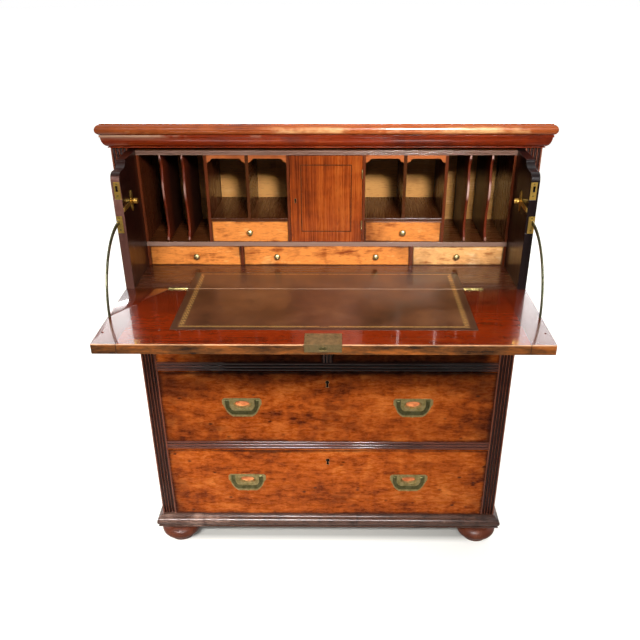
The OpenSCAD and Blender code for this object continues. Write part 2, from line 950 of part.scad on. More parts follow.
// The swinging bail, its two pins turning in the plate
module bail(x, z) {
    h = plate_h / 2;
    mid = 0.8 - bail_t / 2 - 0.3;
    translate([x, 0, z])
        rotate([90, 0, 0])
            union() {
                translate([0, 0, mid - bail_t / 2])
                    linear_extrude(bail_t)
                        bail_outline();
                for (s = [-1, 1]) {
                    translate([s * 38 - 7.4, h - 9, mid])
                        rotate([0, 90, 0])
                            cylinder(r = 1.2, h = 14.8, $fn = 20);
                    translate([s * 38 - 4.8, h - 9, mid])
                        rotate([0, 90, 0])
                            cylinder(r = bail_t / 2, h = 9.6, $fn = 24);
                }
            }
}

// A drawer front with its handle pockets and keyhole, and the box behind it
module large_drawer(x0, x1, z0, h, handles, key_x) {
    g = drawer_gap;
    color(mahogany)
        difference() {
            block([x0 + g, 0, z0 + 0.5], [x1 - g, front_t, z0 + h - 1]);
            for (x = handles)
                translate([x, 0, z0 + h / 2])
                    rotate([90, 0, 0])
                        translate([0, 0, -plate_deep - board_gap])
                            linear_extrude(plate_deep + 2)
                                offset(delta = board_gap)
                                    plate_outline();
            translate([key_x, 0, 0])
                keyhole_cut(z0 + h / 2 + keyhole_up, 1.6);
        }
    color(pine)
        drawer_box(x0 + g + 1, x1 - g - 1, z0 + 0.5, z0 + h - 24, front_t, depth - back_t - 12,
            box_t, box_floor_t);
}

module short_drawer_left() {
    large_drawer(-open_half, -upright_w / 2, z_short, short_h,
        [-(open_half + upright_w / 2) / 2], -(open_half + upright_w / 2) / 2);
}

module short_drawer_right() {
    large_drawer(upright_w / 2, open_half, z_short, short_h,
        [(open_half + upright_w / 2) / 2], (open_half + upright_w / 2) / 2);
}

module long_drawer_upper() {
    large_drawer(-open_half, open_half, z_long_up, long_up_h, [-handle_x, handle_x], 0);
}

module long_drawer_lower() {
    large_drawer(-open_half, open_half, z_base, long_low_h, [-handle_x, handle_x], 0);
}

module plate_short_left() {
    color(brass)
        handle_plate(-(open_half + upright_w / 2) / 2, z_short + short_h / 2);
}

module plate_short_right() {
    color(brass)
        handle_plate((open_half + upright_w / 2) / 2, z_short + short_h / 2);
}

module plates_long_upper() {
    color(brass)
        for (x = [-handle_x, handle_x])
            handle_plate(x, z_long_up + long_up_h / 2);
}

module plates_long_lower() {
    color(brass)
        for (x = [-handle_x, handle_x])
            handle_plate(x, z_base + long_low_h / 2);
}

module bail_short_left() {
    color(brass)
        bail(-(open_half + upright_w / 2) / 2, z_short + short_h / 2);
}

module bail_short_right() {
    color(brass)
        bail((open_half + upright_w / 2) / 2, z_short + short_h / 2);
}

module bail_upper_left() {
    color(brass)
        bail(-handle_x, z_long_up + long_up_h / 2);
}

module bail_upper_right() {
    color(brass)
        bail(handle_x, z_long_up + long_up_h / 2);
}

module bail_lower_left() {
    color(brass)
        bail(-handle_x, z_base + long_low_h / 2);
}

module bail_lower_right() {
    color(brass)
        bail(handle_x, z_base + long_low_h / 2);
}

top_board();
cornice_moulding();
side_panels();
pilasters();
front_rails();
drawer_upright();
dust_boards();
drawer_guides();
back_panel();
plinth_moulding();
bun_feet();
writing_floor();
cheek_left();
cheek_right();
writing_back();
unit_top();
unit_shelf();
unit_uprights();
pigeonhole_shelves();
letter_dividers();
valances();
floor_leather();
cheek_brasses();
floor_hinge_leaves();
fall_board();
fall_leather();
quadrant_stay_left();
quadrant_stay_right();
fall_lock();
fall_bolt();
fall_hinges();
catch_knob_left();
catch_knob_right();
cupboard_door();
door_stringing();
door_hinges();
upper_left_drawer();
upper_right_drawer();
lower_left_drawer();
lower_middle_drawer();
lower_right_drawer();
small_knobs_upper_left();
small_knobs_upper_right();
small_knobs_lower_left();
small_knobs_lower_middle();
small_knobs_lower_right();
short_drawer_left();
short_drawer_right();
long_drawer_upper();
long_drawer_lower();
plate_short_left();
plate_short_right();
plates_long_upper();
plates_long_lower();
bail_short_left();
bail_short_right();
bail_upper_left();
bail_upper_right();
bail_lower_left();
bail_lower_right();
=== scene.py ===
import math

import bmesh
import bpy
from mathutils import Matrix, Vector


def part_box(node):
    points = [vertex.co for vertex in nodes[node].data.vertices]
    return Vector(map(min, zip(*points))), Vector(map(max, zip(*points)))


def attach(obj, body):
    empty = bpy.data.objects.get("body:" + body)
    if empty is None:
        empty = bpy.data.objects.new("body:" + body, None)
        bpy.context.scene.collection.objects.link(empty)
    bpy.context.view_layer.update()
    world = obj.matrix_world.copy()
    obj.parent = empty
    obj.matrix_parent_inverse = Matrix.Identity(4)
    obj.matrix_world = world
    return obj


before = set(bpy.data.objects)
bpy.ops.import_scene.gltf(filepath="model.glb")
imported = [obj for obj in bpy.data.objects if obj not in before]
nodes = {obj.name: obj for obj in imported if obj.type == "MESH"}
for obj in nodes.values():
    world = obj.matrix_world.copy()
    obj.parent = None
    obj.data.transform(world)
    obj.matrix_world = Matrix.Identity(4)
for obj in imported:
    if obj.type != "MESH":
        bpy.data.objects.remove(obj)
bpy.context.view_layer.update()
MM = 0.001

# Places that several finishes and pieces share, read from the CAD nodes
HINGE_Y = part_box("writing_floor")[0].y
HINGE_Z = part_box("writing_floor")[1].z
FALL_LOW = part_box("fall_board")[0]
UNIT_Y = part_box("unit_shelf")[0].y
# X and Z of the cupboard door's keyhole in mm, and the size that its shape is scaled by
DOOR_KEYHOLE, DOOR_KEYHOLE_SIZE = (-68.2, 1003.4), 0.75

# Shades of mahogany from dark to light: the lower drawers, the upper long drawer painted browner
# as shade, the gallery's drawers, and the one of these painted palest as a reflection
FRONT = ("#4E1A08", "#A84C14", "#D27430")
BROWN = ("#421606", "#92400F", "#BE6628")
SMALL = ("#7E3610", "#D4803A", "#F2A860")
PALE = ("#9A5628", "#E4A868", "#F6CC98")
# Bare pine of the drawer boxes, from dark to light
PINE = ("#96602F", "#DA9C5C")
# Dirt at the edges of old wood, a painted shade deep in grooves and slots, and dark wax in dents
DIRT, DEEP_SHADE, DENT_WAX = "#2B0F07", "#150806", "#2A1008"
# Painted shade inside keyholes, where the dark of the lock would be
KEYHOLE_SHADE = "#0A0605"
# Wax without polish, which hardly shines
DULL = {"coat": 0.08, "shine": 0.12}


def linear(hex_colour):
    """An sRGB hex colour as linear red, green, blue and alpha."""
    parts = [int(hex_colour[i:i + 2], 16) / 255 for i in (1, 3, 5)]
    return [p / 12.92 if p <= 0.04045 else ((p + 0.055) / 1.055) ** 2.4 for p in parts] + [1.0]


def put(tree, kind, sockets=None, stops=None, **settings):
    """Adds a shader node. sockets are values or links by name or number, stops are a ramp's."""
    node = tree.nodes.new("ShaderNode" + kind)
    for key, value in settings.items():
        setattr(node, key, value)
    for key, value in (sockets or {}).items():
        if isinstance(value, bpy.types.Node):
            value = value.outputs[0]
        if isinstance(value, bpy.types.NodeSocket):
            tree.links.new(value, node.inputs[key])
        else:
            node.inputs[key].default_value = value
    if stops:
        ramp = node.color_ramp
        while len(ramp.elements) < len(stops):
            ramp.elements.new(0.5)
        for element, (place, colour) in zip(ramp.elements, stops):
            element.position = place
            element.color = linear(colour)
    return node


def new_material(name):
    """An empty material with a Principled shader, its tree and its Object coordinates."""
    material = bpy.data.materials.new(name)
    material.use_nodes = True
    tree = material.node_tree
    tree.nodes.clear()
    shader = put(tree, "BsdfPrincipled")
    out = put(tree, "OutputMaterial")
    tree.links.new(shader.outputs[0], out.inputs[0])
    where = put(tree, "TexCoord").outputs["Object"]
    return material, tree, shader, where


def stretched(tree, where, grain, along, across, seed):
    """Object coordinates scaled along and across a board's grain, moved on by a seed."""
    scale = [along if axis == grain else across for axis in "xyz"]
    place = (seed * 0.37, seed * 0.71, seed * 0.53)
    return put(tree, "Mapping", {"Vector": where, "Location": place, "Scale": scale})


def grain_stops(shades, even=0.15):
    """A grain's colours over its tones, of which the share even keeps the middle shade."""
    dark, mid, light = shades
    return [(0.22, dark), (0.525 - even / 2, mid), (0.525 + even / 2, mid), (0.82, light)]


def grained(tree, where, grain, shades, seed, figure, ribbon, fine, rugged, streak, even):
    """A board's grain with its pores.

    Returns its colour, its tones with and without the cross figure, its lines and its pores.
    """
    bands = put(tree, "TexNoise", {"Vector": stretched(tree, where, grain, *ribbon, seed),
                "Scale": 1.0, "Detail": 4.0, "Roughness": 0.55, "Distortion": 1.2})
    lines = put(tree, "TexNoise", {"Vector": stretched(tree, where, grain, *fine, seed + 3),
                "Scale": 1.0, "Detail": 5.0, "Roughness": rugged, "Distortion": 0.4})
    # Cross figure that catches the light, in bars 25 mm wide and 60 mm long across the grain
    curl = put(tree, "TexNoise", {"Vector": stretched(tree, where, grain, 38, 16, seed + 7),
               "Scale": 1.0, "Detail": 2.0, "Roughness": 0.5, "Distortion": 0.5})
    # Open pores, drawn 12 mm long and 1 mm wide so that they show
    pores = put(tree, "TexNoise", {"Vector": stretched(tree, where, grain, 70, 950, seed + 11),
                "Scale": 1.0, "Detail": 1.0, "Roughness": 0.5})
    plain = put(tree, "Math", {0: lines, 1: 0.55 * streak, 2: 0.5 - 0.275 * streak},
                operation="MULTIPLY_ADD")
    plain = put(tree, "Math", {0: bands, 1: 0.9, 2: plain}, operation="MULTIPLY_ADD")
    plain = put(tree, "Math", {0: plain, 1: 0.45}, operation="SUBTRACT")
    tone = put(tree, "Math", {0: curl, 1: figure, 2: plain}, operation="MULTIPLY_ADD")
    tone = put(tree, "Math", {0: tone, 1: figure / 2}, operation="SUBTRACT")
    colour = put(tree, "ValToRGB", {0: tone}, grain_stops(shades, even))
    pores = put(tree, "MapRange", {0: pores, 1: 0.6, 2: 0.74, 3: 0.0, 4: 0.5})
    colour = put(tree, "Mix", {0: pores, 6: colour, 7: linear(shades[0])}, data_type="RGBA",
                 blend_type="MULTIPLY").outputs[2]
    return colour, tone, plain, lines, pores


def flecked(tree, where, grain, colour, shade, seed, flecks):
    """Short dark flecks in the grain, 10 to 20 mm long and 2 to 4 mm wide."""
    fleck = put(tree, "TexNoise", {"Vector": stretched(tree, where, grain, 55, 230, seed + 13),
                "Scale": 1.0, "Detail": 3.0, "Roughness": 0.6, "Distortion": 0.6})
    fleck = put(tree, "MapRange", {0: fleck, 1: 0.56, 2: 0.7, 3: 0.0, 4: flecks})
    return put(tree, "Mix", {0: fleck, 6: colour, 7: linear(shade)},
               data_type="RGBA").outputs[2]


def dented(tree, where, grain, colour, seed, pocks):
    """Dents and ink spots, 2 to 6 mm across, filled with dark wax."""
    spots = put(tree, "TexVoronoi", {"Vector": stretched(tree, where, grain, 26, 44, seed),
                "Scale": 1.0, "Randomness": 1.0})
    few = put(tree, "SeparateColor", {0: spots.outputs["Color"]})
    near = put(tree, "MapRange", {0: spots.outputs["Distance"], 1: 0.08, 2: 0.2, 3: 1.0, 4: 0.0})
    some = put(tree, "MapRange", {0: few.outputs[0], 1: 1 - pocks, 2: 1.02 - pocks})
    dents = put(tree, "Math", {0: near, 1: some}, operation="MULTIPLY")
    dents = put(tree, "Math", {0: dents, 1: 0.85}, operation="MULTIPLY")
    return put(tree, "Mix", {0: dents, 6: colour, 7: linear(DENT_WAX)},
               data_type="RGBA").outputs[2]


def soiled(tree, axes, colour, stain, rim, dirt, ends, face_y):
    """Stains near a front's two ends and dirt along its edges.

    Returns the colour and the distance in from the nearer end.
    """
    face = put(tree, "Math", {0: axes.outputs[1], 1: face_y}, operation="LESS_THAN")
    gaps = []
    for number, (middle, half) in rim.items():
        off = put(tree, "Math", {0: axes.outputs[number], 1: middle}, operation="SUBTRACT")
        off = put(tree, "Math", {0: off}, operation="ABSOLUTE")
        gaps.append(put(tree, "Math", {0: half, 1: off}, operation="SUBTRACT"))
    near_end = put(tree, "MapRange", {0: gaps[0], 1: 0.0, 2: 70 * MM, 3: 0.17, 4: 0.0})
    near_end = put(tree, "Math", {0: stain, 1: near_end}, operation="ADD")
    near_end = put(tree, "MapRange", {0: near_end, 1: 0.56, 2: 0.72, 3: 0.0, 4: ends})
    near_end = put(tree, "Math", {0: near_end, 1: face}, operation="MULTIPLY")
    colour = put(tree, "Mix", {0: near_end, 6: colour, 7: linear(DIRT)},
                 data_type="RGBA").outputs[2]
    close = put(tree, "Math", {0: gaps[0], 1: gaps[1]}, operation="MINIMUM")
    ragged = put(tree, "Math", {0: stain, 1: 4 * dirt * MM, 2: -1.8 * dirt * MM},
                 operation="MULTIPLY_ADD")
    close = put(tree, "Math", {0: close, 1: ragged}, operation="SUBTRACT")
    dirty = put(tree, "MapRange", {0: close, 1: 0.0, 2: dirt * MM, 3: 0.8, 4: 0.0})
    dirty = put(tree, "Math", {0: dirty, 1: face}, operation="MULTIPLY")
    colour = put(tree, "Mix", {0: dirty, 6: colour, 7: linear(DIRT)},
                 data_type="RGBA").outputs[2]
    return colour, gaps[0]


def paint_keyhole_shade(tree, where, axes, colour, keyhole, face_y):
    """Painted shade for the dark inside of a lock, seen past the sunk walls of its keyhole."""
    x, z, size = keyhole
    off = put(tree, "VectorMath", {0: where, 1: (x, 0.0, z - 4.5 * size * MM)},
              operation="SUBTRACT")
    off = put(tree, "VectorMath", {0: off, 1: (1.0, 0.0, 0.5)}, operation="MULTIPLY")
    off = put(tree, "VectorMath", {0: off}, operation="LENGTH").outputs["Value"]
    off = put(tree, "Math", {0: off, 1: 5.0 * size * MM}, operation="LESS_THAN")
    sunk = put(tree, "Math", {0: axes.outputs[1], 1: face_y}, operation="GREATER_THAN")
    sunk = put(tree, "Math", {0: off, 1: sunk}, operation="MULTIPLY")
    return put(tree, "Mix", {0: sunk, 6: colour, 7: linear(KEYHOLE_SHADE)},
               data_type="RGBA").outputs[2]


def painted_edge_highlight(tree, where, axes, colour, stain, worn):
    """A painted highlight on edges that face forward, in pale patches where they stand out."""
    reach, shade, least = worn
    facing = put(tree, "SeparateXYZ", {0: where.node.outputs["Normal"]})
    forward = put(tree, "MapRange", {0: facing.outputs[1], 1: -0.95, 2: -0.7, 3: 1.0, 4: 0.0})
    stands = put(tree, "MapRange", {0: axes.outputs[1], 1: reach - 3 * MM, 2: reach, 3: 1.0,
                 4: 0.0})
    patchy = put(tree, "MapRange", {0: stain, 1: 0.38, 2: 0.5, 3: 1.0, 4: least})
    bare = put(tree, "Math", {0: forward, 1: stands}, operation="MULTIPLY")
    bare = put(tree, "Math", {0: bare, 1: patchy}, operation="MULTIPLY")
    return put(tree, "Mix", {0: bare, 6: colour, 7: linear(shade)}, data_type="RGBA").outputs[2]


def bare_box(tree, axes, colour, rough, tone, end_gap, box_y, face_y):
    """The bare pine box behind a front, with the tails of its sides let into the front's ends.

    Returns the colour and the roughness.
    """
    behind = put(tree, "Math", {0: axes.outputs[1], 1: box_y}, operation="GREATER_THAN")
    # The tails are two front thicknesses high and as far apart, and wider towards the front
    pitch = 2.0 * (box_y - face_y)
    comb = put(tree, "Math", {0: axes.outputs[2], 1: pitch}, operation="PINGPONG")
    slope = put(tree, "Math", {0: axes.outputs[1], 1: -0.22, 2: 0.5 * pitch + 0.22 * box_y},
                operation="MULTIPLY_ADD")
    tail = put(tree, "Math", {0: comb, 1: slope}, operation="LESS_THAN")
    lapped = put(tree, "Math", {0: axes.outputs[1], 1: 0.7 * face_y + 0.3 * box_y},
                 operation="GREATER_THAN")
    at_end = put(tree, "Math", {0: end_gap, 1: 0.3 * MM}, operation="LESS_THAN")
    tail = put(tree, "Math", {0: tail, 1: lapped}, operation="MULTIPLY")
    tail = put(tree, "Math", {0: tail, 1: at_end}, operation="MULTIPLY")
    behind = put(tree, "Math", {0: behind, 1: tail}, operation="MAXIMUM")
    bare = put(tree, "ValToRGB", {0: tone}, [(0.25, PINE[0]), (0.75, PINE[1])])
    colour = put(tree, "Mix", {0: behind, 6: colour, 7: bare}, data_type="RGBA").outputs[2]
    rough = put(tree, "Math", {0: behind, 1: 0.4, 2: rough}, operation="MULTIPLY_ADD")
    return colour, rough


def wood(name, grain, shades, seed=0.0, polish=0.26, coat=0.5, shine=0.25, figure=0.5,
         ribbon=(1.8, 13), fine=(7, 300), rugged=0.62, streak=1.0, even=0.15, wave=0.25,
         flecks=0.0, stains=0.75, pocks=0.0, rim=None, dirt=9.0, ends=0.0, depth_shade=None,
         keyholes=(), face_y=0.0, worn=None, box_y=None, faces=None):
    """Polished or bare wood. grain is the axis it runs along, shades go from dark to light.

    polish is its roughness, and coat and shine are its gloss. ribbon is how many bands of
    colour a metre holds along and across the grain, fine how many grain lines, rugged how
    broken they are, streak how strong, and figure how strong the cross figure is. even is the
    share of the tones that keep the middle shade, and wave how much the surface waves. flecks,
    stains and pocks say how much of each it has. rim gives the middle and half the length of a
    front by axis, dirt how many mm dirt comes in from its edges, and ends how dark the stains
    near its ends are. depth_shade is (Y where it starts, Y where it is darkest) of a painted
    shade that deepens into the grooves of a reeded face or into slots. keyholes are (X, Z,
    size) of the eyes of keyholes that go in from face_y, painted in shade inside. worn is (Y,
    colour, least): edges that face forward get a painted highlight in the colour where they
    stand before Y, and by least between the patches. box_y is where the bare box behind a
    front begins. faces is a function that finishes a board's faces one by one.
    """
    material, tree, shader, where = new_material(name)
    axes = put(tree, "SeparateXYZ", {0: where})
    colour, tone, plain, lines, pores = grained(tree, where, grain, shades, seed, figure,
                                                ribbon, fine, rugged, streak, even)
    if flecks:
        colour = flecked(tree, where, grain, colour, shades[0], seed, flecks)
    # Old stains where hands and wax have darkened the wood, a hand's breadth across
    stain = put(tree, "TexNoise", {"Vector": stretched(tree, where, grain, 5, 9, seed + 17),
                "Scale": 1.0, "Detail": 5.0, "Roughness": 0.65})
    stained = put(tree, "MapRange", {0: stain, 1: 0.56, 2: 0.75, 3: 0.0, 4: stains})
    colour = put(tree, "Mix", {0: stained, 6: colour, 7: linear(shades[0])},
                 data_type="RGBA").outputs[2]
    if pocks:
        colour = dented(tree, where, grain, colour, seed, pocks)
    if rim:
        colour, end_gap = soiled(tree, axes, colour, stain, rim, dirt, ends, face_y)
    # Painted shade that deepens from the front into grooves and slots
    if depth_shade:
        deep = put(tree, "MapRange", {0: axes.outputs[1], 1: depth_shade[0], 2: depth_shade[1], 3: 0.0,
                   4: 0.9})
        colour = put(tree, "Mix", {0: deep, 6: colour, 7: linear(DEEP_SHADE)},
                     data_type="RGBA").outputs[2]
    # Painted shade inside the keyholes
    for keyhole in keyholes:
        colour = paint_keyhole_shade(tree, where, axes, colour, keyhole, face_y)
    # A painted highlight on the edges that face forward
    if worn:
        colour = painted_edge_highlight(tree, where, axes, colour, stain, worn)
    rough = put(tree, "MapRange", {0: lines, 1: 0.2, 2: 0.8, 3: polish - 0.06, 4: polish + 0.1})
    if box_y:
        colour, rough = bare_box(tree, axes, colour, rough, plain, end_gap, box_y, face_y)
    if faces:
        colour = faces(tree, where, axes, colour, tone)
    tree.links.new(colour, shader.inputs["Base Color"])
    tree.links.new(rough.outputs[0], shader.inputs["Roughness"])
    # Pores sink a little, and the polished surface waves slightly from the plane
    waves = put(tree, "TexNoise", {"Vector": where, "Scale": 16.0, "Detail": 1.0})
    height = put(tree, "Math", {0: pores, 1: -0.12}, operation="MULTIPLY")
    height = put(tree, "Math", {0: waves, 1: wave, 2: height}, operation="MULTIPLY_ADD")
    bump = put(tree, "Bump", {"Height": height, "Strength": 0.6, "Distance": 0.8 * MM})
    tree.links.new(bump.outputs[0], shader.inputs["Normal"])
    shader.inputs["IOR"].default_value = 1.5
    shader.inputs["Specular IOR Level"].default_value = shine
    shader.inputs["Coat Weight"].default_value = coat
    shader.inputs["Coat Roughness"].default_value = max(0.04, polish - 0.16)
    shader.inputs["Coat IOR"].default_value = 1.52
    return material


def fall_faces(tree, where, axes, colour, tone):
    """The fall's writing side with its painted shade, its outer face in the drawers' brown, and
    its worn front edge with a painted highlight.
    """
    clamp_x = 382 * MM
    side = put(tree, "Math", {0: axes.outputs[0]}, operation="ABSOLUTE")
    # Painted shade that darkens it towards the hinges, and darker clamps at its ends
    shaded = put(tree, "MapRange", {0: axes.outputs[1], 1: HINGE_Y - 150 * MM, 2: HINGE_Y,
                 3: 0.0, 4: 0.7})
    clamp = put(tree, "MapRange", {0: side, 1: clamp_x, 2: clamp_x + 1 * MM, 3: 0.0, 4: 0.45})
    shaded = put(tree, "Math", {0: shaded, 1: clamp}, operation="MAXIMUM")
    colour = put(tree, "Mix", {0: shaded, 6: colour, 7: linear("#2C130D")},
                 data_type="RGBA").outputs[2]
    outer = put(tree, "ValToRGB", {0: tone}, grain_stops(BROWN))
    outside = put(tree, "Math", {0: axes.outputs[2], 1: FALL_LOW.z + 1.0 * MM},
                  operation="LESS_THAN")
    colour = put(tree, "Mix", {0: outside, 6: colour, 7: outer}, data_type="RGBA").outputs[2]
    # The front edge, knocked and oiled in blotches, with a pale arris above it, worn and given a
    # painted highlight
    blotch = put(tree, "TexNoise", {"Vector": stretched(tree, where, "x", 14, 60, 2.0),
                 "Scale": 1.0, "Detail": 5.0, "Roughness": 0.65})
    edge = put(tree, "ValToRGB", {0: blotch},
               [(0.36, "#2A180C"), (0.5, "#60381A"), (0.62, "#8C4C1E"), (0.75, "#B87038")])
    at_edge = put(tree, "Math", {0: axes.outputs[1], 1: FALL_LOW.y + 0.5 * MM},
                  operation="LESS_THAN")
    colour = put(tree, "Mix", {0: at_edge, 6: colour, 7: edge}, data_type="RGBA").outputs[2]
    near_front = put(tree, "MapRange", {0: axes.outputs[1], 1: FALL_LOW.y + 1.0 * MM,
                     2: FALL_LOW.y + 2.6 * MM, 3: 1.0, 4: 0.0})
    near_top = put(tree, "MapRange", {0: axes.outputs[2], 1: HINGE_Z - 2.4 * MM,
                   2: HINGE_Z - 1.2 * MM})
    arris = put(tree, "Math", {0: near_front, 1: near_top}, operation="MULTIPLY")
    patches = put(tree, "MapRange", {0: blotch, 1: 0.35, 2: 0.55, 3: 0.45, 4: 1.0})
    arris = put(tree, "Math", {0: arris, 1: patches}, operation="MULTIPLY")
    colour = put(tree, "Mix", {0: arris, 6: colour, 7: linear("#E0A67A")},
                 data_type="RGBA").outputs[2]
    # The joints of the clamps
    joint = put(tree, "Math", {0: side, 1: clamp_x}, operation="SUBTRACT")
    joint = put(tree, "Math", {0: joint}, operation="ABSOLUTE")
    joint = put(tree, "MapRange", {0: joint, 1: 0.4 * MM, 2: 1.0 * MM, 3: 0.75, 4: 0.0})
    return put(tree, "Mix", {0: joint, 6: colour, 7: linear("#1E0704")},
               data_type="RGBA").outputs[2]


def front_wood(node, name, shades, seed, thick, **more):
    """A drawer front's wood, with dirt near its edges and bare pine on the box behind it."""
    low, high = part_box(node)
    rim = {0: ((low.x + high.x) / 2, (high.x - low.x) / 2),
           2: ((low.z + high.z) / 2, (high.z - low.z) / 2)}
    return wood(name, "x", shades, seed, box_y=low.y + thick * MM, rim=rim,
                face_y=low.y + 0.6 * MM, **more, **DULL)


def metal(name, bright, tarnish, rough, worn=0.5, seed=0.0, hollow_y=None):
    """Cast or rolled brass with brown tarnish that wears off where hands touch.

    hollow_y is the Y beyond which the wood in the bottom of a finger hollow shows.
    """
    material, tree, shader, where = new_material(name)
    # Tarnish in clouds about 14 mm across
    cloud = put(tree, "TexNoise", {"Vector": stretched(tree, where, "x", 70, 70, seed),
                "Scale": 1.0, "Detail": 5.0, "Roughness": 0.65})
    mask = put(tree, "MapRange", {0: cloud, 1: worn - 0.14, 2: worn + 0.16})
    colour = put(tree, "Mix", {0: mask, 6: linear(bright), 7: linear(tarnish)},
                 data_type="RGBA").outputs[2]
    roughness = put(tree, "MapRange", {0: mask, 3: rough, 4: rough + 0.2})
    shader.inputs["Metallic"].default_value = 1.0
    if hollow_y:
        depth = put(tree, "SeparateXYZ", {0: where}).outputs[1]
        deep = put(tree, "Math", {0: depth, 1: hollow_y}, operation="GREATER_THAN")
        bottom = put(tree, "ValToRGB", {0: cloud}, [(0.35, "#A8552A"), (0.65, "#D98550")])
        colour = put(tree, "Mix", {0: deep, 6: colour, 7: bottom}, data_type="RGBA").outputs[2]
        brassy = put(tree, "Math", {0: 1.0, 1: deep}, operation="SUBTRACT")
        tree.links.new(brassy.outputs[0], shader.inputs["Metallic"])
    tree.links.new(colour, shader.inputs["Base Color"])
    tree.links.new(roughness.outputs[0], shader.inputs["Roughness"])
    # Fine scratches and casting grain, drawn 1 mm wide so that they show
    grit = put(tree, "TexNoise", {"Vector": where, "Scale": 900.0, "Detail": 2.0})
    bump = put(tree, "Bump", {"Height": grit, "Strength": 0.25, "Distance": 0.15 * MM})
    tree.links.new(bump.outputs[0], shader.inputs["Normal"])
    return material


def gilt_border(tree, where, axes):
    """A border tooled in gold leaf. Returns where the gold is, and the distance inside it."""
    border_x, front_y, back_y = 281 * MM, HINGE_Y - 190 * MM, HINGE_Y + 86 * MM
    rope_wide, leaves_wide, line_wide = 6 * MM, 11 * MM, 2 * MM
    side = put(tree, "Math", {0: axes.outputs[0]}, operation="ABSOLUTE")
    in_side = put(tree, "Math", {0: border_x, 1: side}, operation="SUBTRACT")
    in_front = put(tree, "Math", {0: axes.outputs[1], 1: front_y}, operation="SUBTRACT")
    in_back = put(tree, "Math", {0: back_y, 1: axes.outputs[1]}, operation="SUBTRACT")
    inside = put(tree, "Math", {0: in_side, 1: in_front}, operation="MINIMUM")
    inside = put(tree, "Math", {0: inside, 1: in_back}, operation="MINIMUM")
    at_side = put(tree, "Math", {0: in_side, 1: in_front}, operation="LESS_THAN")
    at_back = put(tree, "Math", {0: in_back, 1: in_side}, operation="LESS_THAN")
    run = put(tree, "Math", {0: axes.outputs[0], 1: axes.outputs[1]}, operation="ADD")
    # A rope along the front, whose strands are 5 mm apart
    twist = put(tree, "Math", {0: inside, 1: 1.2, 2: run}, operation="MULTIPLY_ADD")
    twist = put(tree, "Math", {0: twist, 1: 2 * math.pi / (5 * MM)}, operation="MULTIPLY")
    twist = put(tree, "Math", {0: twist}, operation="SINE")
    rope = put(tree, "MapRange", {0: twist, 1: -0.7, 2: -0.2, 3: 0.25, 4: 1.0})
    # A running leaf along the sides, which repeats every 12 mm, and one line along the back
    beat = put(tree, "Math", {0: run, 1: 2 * math.pi / (12 * MM)}, operation="MULTIPLY")
    beat = put(tree, "Math", {0: beat}, operation="SINE")
    path = put(tree, "Math", {0: beat, 1: 2.6 * MM, 2: leaves_wide / 2},
               operation="MULTIPLY_ADD")
    leaf = put(tree, "Math", {0: inside, 1: path}, operation="SUBTRACT")
    leaf = put(tree, "Math", {0: leaf}, operation="ABSOLUTE")
    leaf = put(tree, "MapRange", {0: leaf, 1: 1.5 * MM, 2: 2.2 * MM, 3: 1.0, 4: 0.2})
    pattern = put(tree, "Mix", {0: at_side, 2: rope, 3: leaf}, data_type="FLOAT")
    pattern = put(tree, "Mix", {0: at_back, 2: pattern, 3: 1.0}, data_type="FLOAT")
    wide = put(tree, "Mix", {0: at_side, 2: rope_wide, 3: leaves_wide}, data_type="FLOAT")
    wide = put(tree, "Mix", {0: at_back, 2: wide, 3: line_wide}, data_type="FLOAT")
    in_band = put(tree, "Math", {0: inside, 1: wide}, operation="LESS_THAN")
    within = put(tree, "Math", {0: inside, 1: 0.0}, operation="GREATER_THAN")
    gilt = put(tree, "Math", {0: in_band, 1: within}, operation="MULTIPLY")
    gilt = put(tree, "Math", {0: gilt, 1: pattern}, operation="MULTIPLY")
    # Gold rubbed away in spots about 8 mm across
    rub = put(tree, "TexNoise", {"Vector": where, "Scale": 120.0, "Detail": 3.0})
    kept = put(tree, "MapRange", {0: rub, 1: 0.38, 2: 0.52, 3: 0.5, 4: 1.0})
    return put(tree, "Math", {0: gilt, 1: kept}, operation="MULTIPLY"), inside


